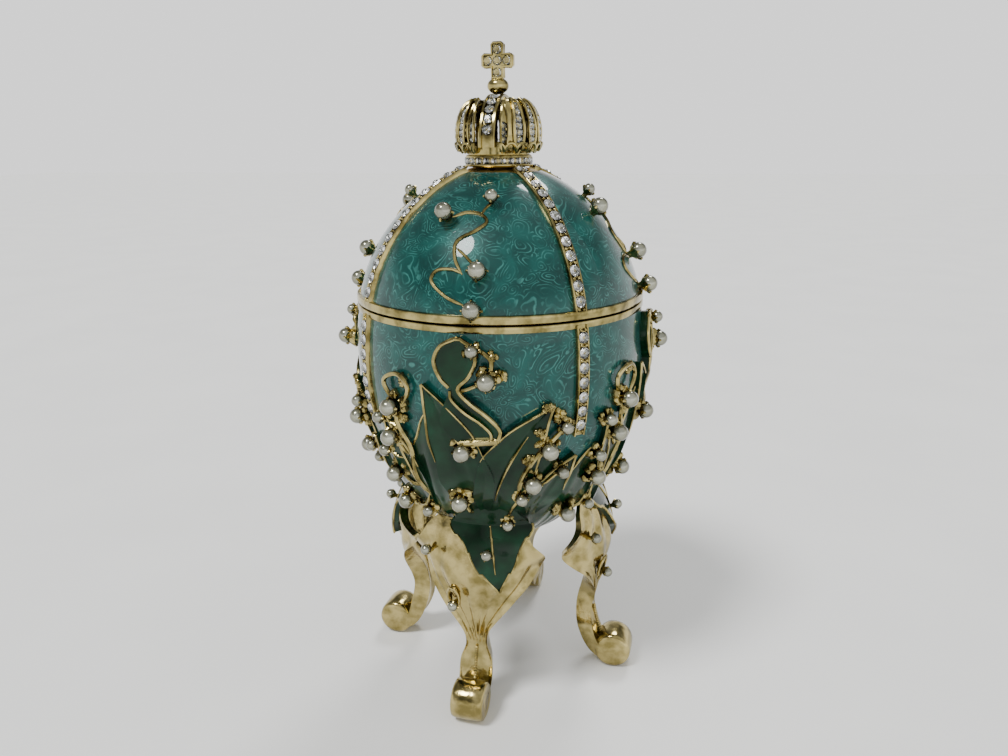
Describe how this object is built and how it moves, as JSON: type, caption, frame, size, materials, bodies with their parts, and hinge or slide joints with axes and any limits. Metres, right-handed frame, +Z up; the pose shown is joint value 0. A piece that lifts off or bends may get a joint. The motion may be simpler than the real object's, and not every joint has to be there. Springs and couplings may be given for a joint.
{
  "type": "enamel egg-shaped jewelry box",
  "caption": "Hollow enamelled egg box on cast scroll legs, with a lift-off lid, crystal ribs, leaves in relief, pearls in gold cups and a crown on top.",
  "frame": {"origin": "on the floor plane at the centre between the four feet, under the egg's axis", "axes": "+Z up along the egg's axis, -Y towards the front leg and front panel, +X towards the right leg"},
  "size_m": [0.075, 0.075, 0.145],
  "materials": {
    "teal_enamel": "glossy pearlescent enamel in swirls over cast metal",
    "leaf_enamel": "glossy dark green enamel",
    "gold_plate": "polished pale gold plate on cast metal",
    "pearl": "imitation pearl with a soft lustre",
    "crystal": "faceted clear crystal, foil backed",
    "lining": "plain gold lining"
  },
  "bodies": {
    "root": {"base_shell": "teal_enamel", "lid_shell": "teal_enamel", "crown": "gold_plate", "leg_front": "gold_plate", "leg_right": "gold_plate", "leg_back": "gold_plate", "leg_left": "gold_plate", "pearl_lid_front_band": "pearl", "pearl_lid_front_low": "pearl", "pearl_lid_front_high": "pearl", "pearl_lid_front_top": "pearl", "pearl_lid_right_band": "pearl", "pearl_lid_right_low": "pearl", "pearl_lid_right_high": "pearl", "pearl_lid_right_top": "pearl", "pearl_lid_back_band": "pearl", "pearl_lid_back_low": "pearl", "pearl_lid_back_high": "pearl", "pearl_lid_back_top": "pearl", "pearl_lid_left_band": "pearl", "pearl_lid_left_low": "pearl", "pearl_lid_left_high": "pearl", "pearl_lid_left_top": "pearl", "pearl_base_front_crook": "pearl", "pearl_base_front_heart": "pearl", "pearl_base_front_root": "pearl", "pearl_base_front_left_high": "pearl", "pearl_base_front_left_mid": "pearl", "pearl_base_front_left_low": "pearl", "pearl_base_front_left_foot": "pearl", "pearl_base_front_right_high": "pearl", "pearl_base_front_right_low": "pearl", "pearl_base_right_crook": "pearl", "pearl_base_right_heart": "pearl", "pearl_base_right_root": "pearl", "pearl_base_right_left_high": "pearl", "pearl_base_right_left_mid": "pearl", "pearl_base_right_left_low": "pearl", "pearl_base_right_left_foot": "pearl", "pearl_base_right_right_high": "pearl", "pearl_base_right_right_low": "pearl", "pearl_base_back_crook": "pearl", "pearl_base_back_heart": "pearl", "pearl_base_back_root": "pearl", "pearl_base_back_left_high": "pearl", "pearl_base_back_left_mid": "pearl", "pearl_base_back_left_low": "pearl", "pearl_base_back_left_foot": "pearl", "pearl_base_back_right_high": "pearl", "pearl_base_back_right_low": "pearl", "pearl_base_left_crook": "pearl", "pearl_base_left_heart": "pearl", "pearl_base_left_root": "pearl", "pearl_base_left_left_high": "pearl", "pearl_base_left_left_mid": "pearl", "pearl_base_left_left_low": "pearl", "pearl_base_left_left_foot": "pearl", "pearl_base_left_right_high": "pearl", "pearl_base_left_right_low": "pearl"}
  },
  "joints": []
}
